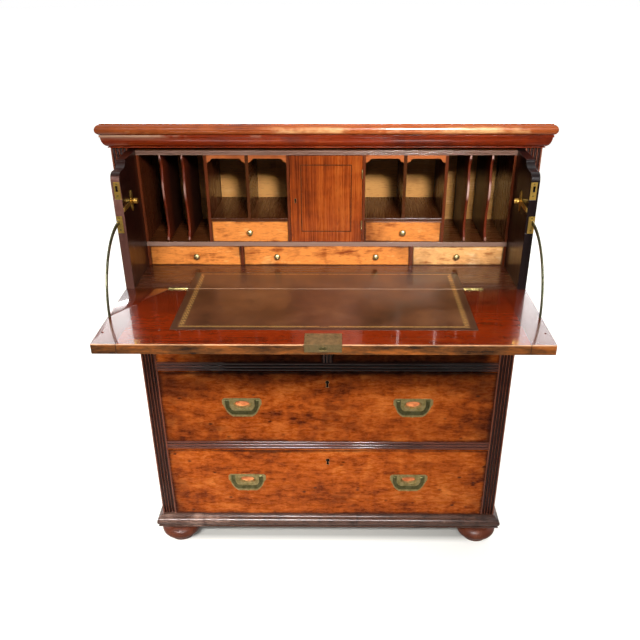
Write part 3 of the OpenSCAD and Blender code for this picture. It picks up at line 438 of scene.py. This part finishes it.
def tooled_leather():
    """Brown hide, glazed and rubbed, with a border pressed in gold leaf."""
    material, tree, shader, where = new_material("glazed_hide_tooled_in_gold")
    axes = put(tree, "SeparateXYZ", {0: where})
    gilt, inside = gilt_border(tree, where, axes)
    # Soft clouds in the hide, a hand's breadth across
    patches = put(tree, "TexNoise", {"Vector": where, "Scale": 9.0, "Detail": 4.0,
                  "Roughness": 0.6})
    hide = put(tree, "ValToRGB", {0: patches},
               [(0.3, "#38200F"), (0.5, "#542F18"), (0.72, "#72482A")])
    # Dark unworn margin outside the border, and a rubbed edge along the joint of the two hides
    margin = put(tree, "MapRange", {0: inside, 1: -3 * MM, 2: 0.0, 3: 0.6, 4: 0.0})
    hide = put(tree, "Mix", {0: margin, 6: hide, 7: linear("#2E170C")},
               data_type="RGBA").outputs[2]
    joint = put(tree, "Math", {0: axes.outputs[1], 1: HINGE_Y}, operation="SUBTRACT")
    joint = put(tree, "Math", {0: joint}, operation="ABSOLUTE")
    joint = put(tree, "MapRange", {0: joint, 1: 1.0 * MM, 2: 2.2 * MM, 3: 0.7, 4: 0.0})
    hide = put(tree, "Mix", {0: joint, 6: hide, 7: linear("#A88464")},
               data_type="RGBA").outputs[2]
    colour = put(tree, "Mix", {0: gilt, 6: hide, 7: linear("#D6A860")}, data_type="RGBA")
    tree.links.new(colour.outputs[2], shader.inputs["Base Color"])
    metallic = put(tree, "Math", {0: gilt, 1: 0.8}, operation="MULTIPLY")
    tree.links.new(metallic.outputs[0], shader.inputs["Metallic"])
    rough = put(tree, "MapRange", {0: patches, 1: 0.3, 2: 0.7, 3: 0.3, 4: 0.42})
    tree.links.new(rough.outputs[0], shader.inputs["Roughness"])
    # Pebbles of the hide, 1.6 mm across, which the gold presses flat
    pebbles = put(tree, "TexVoronoi", {"Vector": where, "Scale": 620.0})
    height = put(tree, "Math", {0: gilt, 1: -1.2, 2: pebbles.outputs["Distance"]},
                 operation="MULTIPLY_ADD")
    bump = put(tree, "Bump", {"Height": height, "Strength": 0.4, "Distance": 0.12 * MM})
    tree.links.new(bump.outputs[0], shader.inputs["Normal"])
    shader.inputs["IOR"].default_value = 1.5
    shader.inputs["Coat Weight"].default_value = 0.35
    shader.inputs["Coat Roughness"].default_value = 0.2
    return material


finishes = {}

# The case: mahogany under french polish or wax
# A clear gloss over warm brown, with small dents, and a painted highlight in pale patches along
# its front edge
finishes["top_board"] = wood(
    "french_polished_mahogany_top", "x", ("#6A260E", "#A8501F", "#CC7840"), 1.0, polish=0.24,
    coat=0.8, figure=0.3, pocks=0.2, worn=(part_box("top_board")[0].y + 6 * MM, "#E6AC72", 0.0))
# A deeper red on the moulding, glossy along its curves, with a painted pale highlight along its
# foremost fillet
finishes["cornice_moulding"] = wood(
    "french_polished_mahogany_cornice", "x", ("#36100A", "#80290B", "#AC4A18"), 2.0,
    polish=0.24, coat=0.25, figure=0.3,
    worn=(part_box("cornice_moulding")[0].y + 3 * MM, "#B88C70", 0.0))
# Wide boards with an upright figure under wax, with a soft sheen and a few dents
finishes["side_panels"] = wood(
    "waxed_mahogany_sides", "z", ("#4E1A0A", "#8C3C1A", "#A85426"), 3.0, polish=0.34, coat=0.08,
    shine=0.12, figure=0.4, even=0.05, flecks=0.3, pocks=0.15)
# Scraped reeds: polished crowns with a painted pale highlight in front, and painted shade in the
# grooves
finishes["pilasters"] = wood(
    "reeded_mahogany_upright", "z", ("#2C0E06", "#702E12", "#9A4C28"), 4.0, coat=0.35,
    figure=0.3, depth_shade=(0.5 * MM, 2.4 * MM), worn=(3.0 * MM, "#8A5440", 0.5))
# The same reeds laid level, glossier, so that they catch the room in thin grey lines, with
# painted shade in the grooves
finishes["front_rails"] = wood(
    "reeded_mahogany_rail", "x", ("#2C120C", "#5E3022", "#8A5038"), 6.0, coat=0.8, figure=0.3,
    depth_shade=(0.8 * MM, 3.4 * MM))
# Kicked and waxed over many years: a ragged grain, nearly black, with greyish streaks
finishes["plinth_moulding"] = wood(
    "old_waxed_mahogany_plinth", "x", ("#20130F", "#5A3E33", "#9A7868"), 8.0, polish=0.34,
    figure=0.6, fine=(20, 120), rugged=0.75, flecks=0.7)
# Turned and rubbed smooth: an even dark red with one soft highlight
finishes["bun_feet"] = wood(
    "turned_mahogany_foot", "z", ("#32120A", "#64301D", "#864A30"), 9.0, polish=0.4, coat=0.15)
# Planed pine that was never finished: matt straw brown
finishes["dust_boards"] = wood(
    "planed_pine_board", "x", ("#7E5C38", "#A8814F", "#C29A66"), 10.0, polish=0.7, coat=0.0)
# The same pine with its grain upright, darker with age
finishes["back_panel"] = wood(
    "planed_pine_back", "z", ("#6E4E2E", "#96704A", "#B08A5C"), 12.0, polish=0.7, coat=0.0)

# The writing drawer and its gallery
# A dark gloss that mirrors the drawers above it
finishes["writing_floor"] = wood(
    "french_polished_writing_floor", "x", ("#2A1008", "#4E2614", "#6A3A20"), 13.0, polish=0.24,
    figure=0.3)
# Nearly black: a painted shade over the cheek, with a painted dull pink reflection on its front
# edge
finishes["cheek_left"] = wood(
    "french_polished_mahogany_cheek", "z", ("#160806", "#2A120C", "#4A281E"), 14.0, polish=0.3,
    coat=0.25, shine=0.15, figure=0.3, worn=(HINGE_Y + 20 * MM, "#7A5248", 0.35))
# Blacker still, as a painted shade, under the same polish and without the pale front edge
finishes["cheek_right"] = wood(
    "mahogany_cheek_in_painted_shade", "z", ("#0C0808", "#1A1010", "#2C2022"), 14.0, polish=0.3,
    coat=0.25, shine=0.15, figure=0.3)
# Bare sawn wood, matt, which stands out pale behind the dark pigeonholes
finishes["writing_back"] = wood(
    "bare_pale_wood_back", "x", ("#74481F", "#B37F42", "#D0A267"), 15.0, polish=0.6, coat=0.0,
    figure=0.4)
# Dark waxed rails, with a painted greyish sheen in patches on their front edges
finishes["unit_top"] = wood(
    "waxed_mahogany_gallery_rail", "x", ("#2C1408", "#522A12", "#6E3E1E"), 16.0, coat=0.2,
    shine=0.15, worn=(UNIT_Y + 4 * MM, "#8C6E60", 0.8))
# Waxed red edges in front, with a painted shade that darkens them towards the back
finishes["unit_uprights"] = wood(
    "waxed_mahogany_gallery_upright", "z", ("#2E1208", "#5E2A14", "#844626"), 17.0, figure=0.3,
    depth_shade=(UNIT_Y + 10 * MM, UNIT_Y + 200 * MM), **DULL)
# Dull brown boards with fine lines that run away from the eye
finishes["pigeonhole_shelves"] = wood(
    "waxed_mahogany_shelf", "y", ("#2C1208", "#48240F", "#60361A"), 18.0, figure=0.3,
    streak=0.4, **DULL)
# Thin dark boards with a painted shade deep in the slots, and a painted highlight on the crests
# of their wavy front edges
finishes["letter_dividers"] = wood(
    "waxed_mahogany_divider", "z", ("#34100A", "#64240F", "#843A1C"), 19.0, polish=0.45,
    coat=0.15, shine=0.1, figure=0.3, depth_shade=(UNIT_Y + 20 * MM, UNIT_Y + 75 * MM),
    worn=(UNIT_Y + 7 * MM, "#C8A496", 0.35))
# Sawn to shape from paler stuff and only waxed
finishes["valances"] = wood(
    "waxed_mahogany_apron", "x", ("#7A3C1C", "#A85C30", "#C07A4C"), 20.0, figure=0.3, **DULL)
# One upright board with dark and orange stripes, and painted shade inside its keyhole
finishes["cupboard_door"] = wood(
    "striped_mahogany_door", "z", ("#481A0A", "#8A3A10", "#A8561E"), 21.0, figure=0.3,
    streak=1.8, even=0.0, face_y=UNIT_Y + 1.0 * MM,
    keyholes=[(DOOR_KEYHOLE[0] * MM, DOOR_KEYHOLE[1] * MM, DOOR_KEYHOLE_SIZE)], **DULL)
# A thin line a little darker than the door
finishes["door_stringing"] = wood(
    "dark_line_inlay", "z", ("#2A150A", "#4C2610", "#5E3416"), 22.0, **DULL)

# The fall: the deepest and reddest polish of all, in which the room is mirrored
finishes["fall_board"] = wood(
    "french_polished_red_mahogany", "x", ("#3E0D04", "#862A09", "#B24E1C"), 5.0, polish=0.2,
    coat=0.9, shine=0.2, figure=0.25, streak=0.8, wave=0.1, flecks=0.25, faces=fall_faces)

# Large drawer fronts, waxed: ragged orange and brown grain with dents, dark at edges and ends,
# with painted shade inside their keyholes; the upper one painted browner as shade.
# X and Z of each one's keyhole are in mm
KEYHOLES = {"short_drawer_left": (-221.0, 772.0), "short_drawer_right": (221.0, 772.0),
            "long_drawer_upper": (0.0, 531.5), "long_drawer_lower": (0.0, 289.5)}
KEYHOLE_SIZE = 1.6
# From a front's face to the box behind it, in mm
LARGE_FRONT, SMALL_FRONT = 20.5, 9.5
for number, (name, (x, z)) in enumerate(KEYHOLES.items()):
    finishes[name] = front_wood(
        name, "waxed_mahogany_of_" + name, BROWN if name == "long_drawer_upper" else FRONT,
        30.0 + number * 5, LARGE_FRONT, figure=0.45, ribbon=(4, 12), fine=(30, 90), rugged=0.78,
        streak=1.8, even=0.0, flecks=0.25, stains=0.2,
        pocks=0.4 if name == "long_drawer_lower" else 0.3, dirt=7.0, ends=0.5,
        keyholes=[(x * MM, z * MM, KEYHOLE_SIZE)])
# Small drawer fronts: pale orange, bleached by light, with short brown streaks; the lower right
# one is painted palest, a painted reflection
for number, name in enumerate(("upper_left_drawer", "upper_right_drawer", "lower_left_drawer",
                               "lower_middle_drawer", "lower_right_drawer")):
    finishes[name] = front_wood(
        name, "waxed_pale_mahogany_of_" + name, PALE if name == "lower_right_drawer" else SMALL,
        50.0 + number * 4, SMALL_FRONT, polish=0.3, ribbon=(8, 30), fine=(22, 120), rugged=0.72,
        streak=1.3, flecks=0.35, pocks=0.04, dirt=2.5, ends=0.4)

finishes["floor_leather"] = finishes["fall_leather"] = tooled_leather()

# Cast plates, yellow grey under an even olive tarnish, with wood in their finger hollows
plate = metal("tarnished_cast_brass_plate", "#C6B27C", "#94834E", 0.42, hollow_y=6.6 * MM)
# Cast bails, greener than their plates and painted darker as the shade of their hollows, a little
# smoother from fingers
bail = metal("rubbed_cast_brass_bail", "#7E7850", "#4C4828", 0.36, 0.56, 4.0)
# Rolled plate that never gets polished: brown and dull
dull_plate = metal("dull_rolled_brass", "#B89C6C", "#7E6A48", 0.42, 0.5, 8.0)
# Lacquered catches that still look golden in the dark of the cheeks
golden = metal("lacquered_catch_brass", "#EABF62", "#B08434", 0.36, 0.58, 9.0)
# Knuckles polished by turning, which glint
knuckle = metal("polished_knuckle_brass", "#D8C486", "#6A6236", 0.24, 0.55, 10.0)
# Turned knobs, pale yellow and worn bright
knob = metal("turned_knob_brass", "#D8C68C", "#A08C58", 0.34, 0.56, 12.0)
# Drawn bar, grey green and nearly without glints
stay = metal("drawn_stay_brass", "#74725A", "#43462F", 0.4, 0.45, 16.0)
# Turned screw heads, brown in their slots
screw_brass = metal("turned_screw_brass", "#B49C5E", "#5C4A26", 0.3, 0.5, 20.0)

finishes["unit_shelf"] = finishes["unit_top"]
finishes["drawer_upright"] = finishes["pilasters"]
finishes["drawer_guides"] = finishes["dust_boards"]
finishes["cheek_brasses"] = golden
finishes["fall_lock"] = dull_plate
for name in ("fall_hinges", "floor_hinge_leaves", "door_hinges", "fall_bolt"):
    finishes[name] = knuckle
for start, brass in (("plate", plate), ("bail", bail), ("small_knobs", knob),
                     ("quadrant_stay", stay), ("catch_knob", golden)):
    for name in nodes:
        if name.startswith(start):
            finishes[name] = brass

# How far each node's sharp edges are rounded, in mm; the rest are eased by half a millimetre
ROUND = {"letter_dividers": 2.6, "fall_board": 1.2, "cheek_left": 1.0, "cheek_right": 1.0,
         "top_board": 0.6, "valances": 0.3, "pilasters": 0.3, "fall_leather": 0.2,
         "floor_leather": 0.2, "door_stringing": 0.0, "bun_feet": 0.0, "door_hinges": 0.2,
         "fall_bolt": 0.3}
for name, thing in nodes.items():
    thing.data.materials.clear()
    thing.data.materials.append(finishes[name])
    width = ROUND.get(name, 0.3 if "knob" in name else 0.5)
    weld = thing.modifiers.new("weld", "WELD")
    weld.merge_threshold = 0.01 * MM
    if width:
        flat = thing.modifiers.new("flat", "DECIMATE")
        flat.decimate_type = "DISSOLVE"
        flat.angle_limit = math.radians(0.5)
        ease = thing.modifiers.new("ease", "BEVEL")
        ease.width = width * MM
        ease.segments = 2
        ease.limit_method = "ANGLE"
        ease.angle_limit = math.radians(40)


def piece(name, bm, material, body):
    """Makes a mesh that rides on a body from bm, with its normals turned outward."""
    bmesh.ops.recalc_face_normals(bm, faces=bm.faces)
    mesh = bpy.data.meshes.new(name)
    bm.to_mesh(mesh)
    bm.free()
    mesh.materials.append(material)
    thing = bpy.data.objects.new(name, mesh)
    bpy.context.scene.collection.objects.link(thing)
    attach(thing, body)


def screws(name, body, heads, facing, radius):
    """Slotted screws with eased rims. heads are their places in mm, facing is their way."""
    bm = bmesh.new()
    proud, half_slot = 0.14 * MM, 0.14 * radius * MM
    for number, place in enumerate(heads):
        rim = bmesh.ops.create_circle(bm, cap_ends=True, radius=radius * MM, segments=20)["verts"]
        face = rim[0].link_faces[0]
        top = bmesh.ops.extrude_face_region(bm, geom=[face])["geom"]
        lifted = [v for v in top if isinstance(v, bmesh.types.BMVert)]
        bmesh.ops.translate(bm, verts=lifted, vec=(0, 0, proud))
        head = set(rim) | set(lifted)
        edges = [e for v in lifted for e in v.link_edges if all(w in lifted for w in e.verts)]
        eased = bmesh.ops.bevel(bm, geom=list(set(edges)), offset=0.08 * MM, segments=2,
                                profile=0.5, affect="EDGES", material=-1)
        head = {v for v in head if v.is_valid} | set(eased["verts"])
        for side in (-1, 1):
            parts = list(head) + list({e for v in head for e in v.link_edges})
            parts += list({f for v in head for f in v.link_faces})
            cut = bmesh.ops.bisect_plane(bm, geom=parts, plane_co=(side * half_slot, 0, 0),
                                         plane_no=(1, 0, 0))
            head |= {v for v in cut["geom_cut"] if isinstance(v, bmesh.types.BMVert)}
        slot = [f for f in {f for v in head for f in v.link_faces}
                if abs(f.calc_center_median().x) < half_slot and f.normal.z > 0.9
                and f.calc_center_median().z > 0.9 * proud]
        sunk = bmesh.ops.extrude_face_region(bm, geom=slot)["geom"]
        bottom = [v for v in sunk if isinstance(v, bmesh.types.BMVert)]
        bmesh.ops.translate(bm, verts=bottom, vec=(0, 0, -0.7 * proud))
        head |= set(bottom)
        # Each slot stands at its own angle
        turn = Matrix.Rotation(0.4 + 1.3 * number, 4, "Z")
        look = Vector(facing).to_track_quat("Z", "Y").to_matrix().to_4x4()
        bmesh.ops.transform(bm, matrix=Matrix.Translation(Vector(place) * MM) @ look @ turn,
                            verts=list(head))
    piece(name, bm, screw_brass, body)


def keyhole_rim(name, body, x, y, z, size):
    """The thin brass lining of a keyhole in a front at y, its eye at x and z in mm."""
    wall, proud = 0.5 * size * MM, 0.25 * MM
    eye, foot, low = 3 * size * MM + wall, 2.2 * size * MM + wall, -9 * size * MM - wall
    neck = math.radians(58)
    bm = bmesh.new()
    first = bm.verts.new((eye * math.cos(neck), 0, -eye * math.sin(neck)))
    arc = bmesh.ops.spin(bm, geom=[first], cent=(0, 0, 0), axis=(0, -1, 0),
                         angle=math.pi + 2 * neck, steps=22)
    last = next(v for v in arc["geom_last"] if isinstance(v, bmesh.types.BMVert))
    left, right = bm.verts.new((-foot, 0, low)), bm.verts.new((foot, 0, low))
    for pair in ((last, left), (left, right), (right, first)):
        bm.edges.new(pair)
    face = bmesh.ops.edgeloop_fill(bm, edges=bm.edges)["faces"][0]
    face.normal_update()
    bmesh.ops.inset_region(bm, faces=[face], thickness=wall, use_even_offset=True,
                           use_boundary=True)
    bmesh.ops.delete(bm, geom=[face], context="FACES")
    ring = bmesh.ops.extrude_face_region(bm, geom=list(bm.faces), use_keep_orig=True)["geom"]
    raised = [v for v in ring if isinstance(v, bmesh.types.BMVert)]
    bmesh.ops.translate(bm, verts=raised, vec=(0, -proud, 0))
    bmesh.ops.translate(bm, verts=bm.verts, vec=(x * MM, y * MM, z * MM))
    piece(name, bm, dull_plate, body)


# Screws that hold the brass, in mm from the hinge line and from the middle of each brass
LEAF_HALF, LEAF_PITCH = 20.7, 14.0
leaf_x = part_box("fall_hinges")[1].x / MM - LEAF_HALF
hinge_y, hinge_z = HINGE_Y / MM, HINGE_Z / MM
front_y = FALL_LOW.y / MM
both = (-1, 1)
for name, body, back in (("floor_leaf_screws", "writing_drawer", 5.6),
                         ("fall_leaf_screws", "fall", -5.2)):
    screws(name, body, [(s * leaf_x + along * LEAF_PITCH, hinge_y + back, hinge_z)
                        for s in both for along in (-1, 0, 1)], (0, 0, 1), 1.6)
# X and height of the keeps' screws on the cheeks' front edges: catch keep, then stay keep
KEEPS = ((418, 201), (418, 225), (422, 130), (422, 155))
screws("keep_plate_screws", "writing_drawer",
       [(s * x, hinge_y + 0.3, hinge_z + up) for s in both for x, up in KEEPS], (0, -1, 0), 1.8)
# The catch plates on the cheeks' inner faces: X, way back, height, and half the screws' pitch
CATCH_X, CATCH_BACK, CATCH_UP, CATCH_PITCH = 409.4, 68, 172, 14
for s, side in ((-1, "left"), (1, "right")):
    screws("catch_plate_screws_" + side, "writing_drawer",
           [(s * CATCH_X, hinge_y + CATCH_BACK, hinge_z + CATCH_UP + up)
            for up in (-CATCH_PITCH, CATCH_PITCH)], (-s, 0, 0), 1.5)
# The lock's four screws: X, and how far behind the fall's front edge each pair is
LOCK_X, LOCK_BACK = 29, (8, 40)
screws("lock_plate_screws", "fall", [(s * LOCK_X, front_y + back, hinge_z)
                                     for s in both for back in LOCK_BACK], (0, 0, 1), 2.2)

BODIES = {"short_drawer_left": "drawer_short_left", "short_drawer_right": "drawer_short_right",
          "long_drawer_upper": "drawer_long_upper", "long_drawer_lower": "drawer_long_lower"}
for name, (x, z) in KEYHOLES.items():
    keyhole_rim("keyhole_rim_of_" + name, BODIES[name], x, 0.0, z, KEYHOLE_SIZE)
keyhole_rim("keyhole_rim_of_door", "cupboard", DOOR_KEYHOLE[0], UNIT_Y / MM + 0.5,
            DOOR_KEYHOLE[1], DOOR_KEYHOLE_SIZE)


def pale_floor():
    """A matt painted floor that glows up to white with the distance from the chest, with a
    painted shadow where the glow fades out near it.
    """
    material, tree, shader, where = new_material("matt_painted_floor")
    shader.inputs["Roughness"].default_value = 0.6
    ray = put(tree, "LightPath")
    # Pale to the camera and in reflections, but it throws little light up under the fall
    seen = put(tree, "Math", {0: ray.outputs["Is Camera Ray"], 1: ray.outputs["Is Glossy Ray"]},
               operation="MAXIMUM")
    pale = put(tree, "Mix", {0: seen, 6: linear("#6A6862"), 7: linear("#C6C4BE")},
               data_type="RGBA")
    tree.links.new(pale.outputs[2], shader.inputs["Base Color"])
    # Distance out from a rectangle under the chest, given by axis, middle and half size in m
    axes = put(tree, "SeparateXYZ", {0: where})
    beyond = []
    for axis, middle, half in ((0, 0.0, 0.44), (1, 0.22, 0.19)):
        off = put(tree, "Math", {0: axes.outputs[axis], 1: middle}, operation="SUBTRACT")
        off = put(tree, "Math", {0: off}, operation="ABSOLUTE")
        off = put(tree, "Math", {0: off, 1: half}, operation="SUBTRACT")
        beyond.append(put(tree, "Math", {0: off, 1: 0.0}, operation="MAXIMUM"))
    far = put(tree, "CombineXYZ", {0: beyond[0], 1: beyond[1]})
    far = put(tree, "VectorMath", {0: far}, operation="LENGTH").outputs["Value"]
    # The glow is almost nothing under the chest and rises within 3 cm of it: a painted shadow
    # round the chest
    glow = put(tree, "ValToRGB", {0: far}, [(0.0, "#060606"), (0.03, "#D0D0D0"),
               (0.4, "#E4E4E4"), (1.0, "#FCFCFC")])
    glow = put(tree, "Math", {0: ray.outputs["Is Camera Ray"], 1: glow}, operation="MULTIPLY")
    tree.links.new(glow.outputs[0], shader.inputs["Emission Strength"])
    shader.inputs["Emission Color"].default_value = linear("#FFFDF8")
    return material


def pale_room():
    """A white room: bright behind the chest, darker on the side that the viewer stands on."""
    world = bpy.data.worlds.new("studio")
    bpy.context.scene.world = world
    world.use_nodes = True
    tree = world.node_tree
    tree.nodes.clear()
    path = put(tree, "LightPath")
    towards = put(tree, "SeparateXYZ", {0: put(tree, "TexCoord").outputs["Generated"]})
    lit = put(tree, "MapRange", {0: towards.outputs[1], 1: -0.35, 2: 0.35, 3: 0.3, 4: 1.0})
    lit = put(tree, "Math", {0: lit, 1: path.outputs["Is Camera Ray"]}, operation="MAXIMUM")
    # Only a small share of it lights the chest, so that the gallery stays dark inside
    seen = put(tree, "Math", {0: path.outputs["Is Camera Ray"],
               1: path.outputs["Is Glossy Ray"]}, operation="MAXIMUM")
    share = put(tree, "MapRange", {0: seen, 3: 0.06, 4: 1.0})
    strength = put(tree, "Math", {0: lit, 1: share}, operation="MULTIPLY")
    sky = put(tree, "Background", {"Color": (1.0, 1.0, 1.0, 1.0), "Strength": strength})
    tree.links.new(sky.outputs[0], put(tree, "OutputWorld").inputs[0])


def lamp(name, place, target, size, power, spread=180.0):
    """A soft rectangular lamp that the camera doesn't see, with the spread of its beam."""
    data = bpy.data.lights.new(name, "AREA")
    data.shape = "RECTANGLE"
    data.size, data.size_y = size
    data.energy = power
    data.spread = math.radians(spread)
    thing = bpy.data.objects.new(name, data)
    thing.location = place
    thing.rotation_euler = (Vector(target) - Vector(place)).to_track_quat("-Z", "Y").to_euler()
    thing.visible_camera = False
    bpy.context.scene.collection.objects.link(thing)


# Floor, room and lamps
floor_mesh = bpy.data.meshes.new("studio_floor")
bm = bmesh.new()
bmesh.ops.create_circle(bm, cap_ends=True, radius=30.0, segments=64)
bm.to_mesh(floor_mesh)
bm.free()
floor_mesh.materials.append(pale_floor())
floor = bpy.data.objects.new("studio_floor", floor_mesh)
bpy.context.scene.collection.objects.link(floor)
pale_room()
lamp("front_light", (0.48, -2.3, 2.25), (0.1, 0, 1.15), (0.35, 0.3), 8, 48)
lamp("left_light", (-0.8, -2.2, 2.2), (-0.34, 0, 0.2), (1.6, 0.3), 6, 32)
lamp("back_window", (0, 2.6, 1.62), (0, 0.2, 1.17), (3.4, 0.5), 14, 60)
# Two panes behind the chest, which show as reflections in the ends of the open fall
lamp("left_pane", (-1.38, 2.6, 2.2), (-0.42, -0.28, 0.85), (0.95, 0.8), 0.5, 60)
lamp("right_pane", (1.38, 2.6, 2.2), (0.42, -0.28, 0.85), (0.95, 0.8), 0.4, 60)
# These light the sides and the back, which the first view hardly shows
lamp("right_window", (2.4, 0.9, 1.5), (0.46, 0.2, 0.6), (1.4, 1.4), 20)
lamp("left_window", (-2.4, 0.9, 1.5), (-0.46, 0.2, 0.6), (1.4, 1.4), 20)
lamp("far_window", (0, 3.2, 1.2), (0, 0.4, 0.6), (2.0, 1.4), 24)

# The camera, fitted to the photo, which looks down at the chest. Its angles are in radians
camera = bpy.data.cameras.new("camera")
camera.sensor_width = 36.0
camera.lens = 41.29
camera.shift_x = -0.0185
camera.shift_y = 0.0797
camera_object = bpy.data.objects.new("camera", camera)
down, tilt, heading = 0.508, 0.002, 0.010
camera_object.location = (0.0295, -1.6128, 1.4626)
camera_object.rotation_euler = (math.pi / 2 - down, tilt, heading)
bpy.context.scene.collection.objects.link(camera_object)
bpy.context.scene.camera = camera_object
bpy.context.scene.view_settings.view_transform = "Standard"
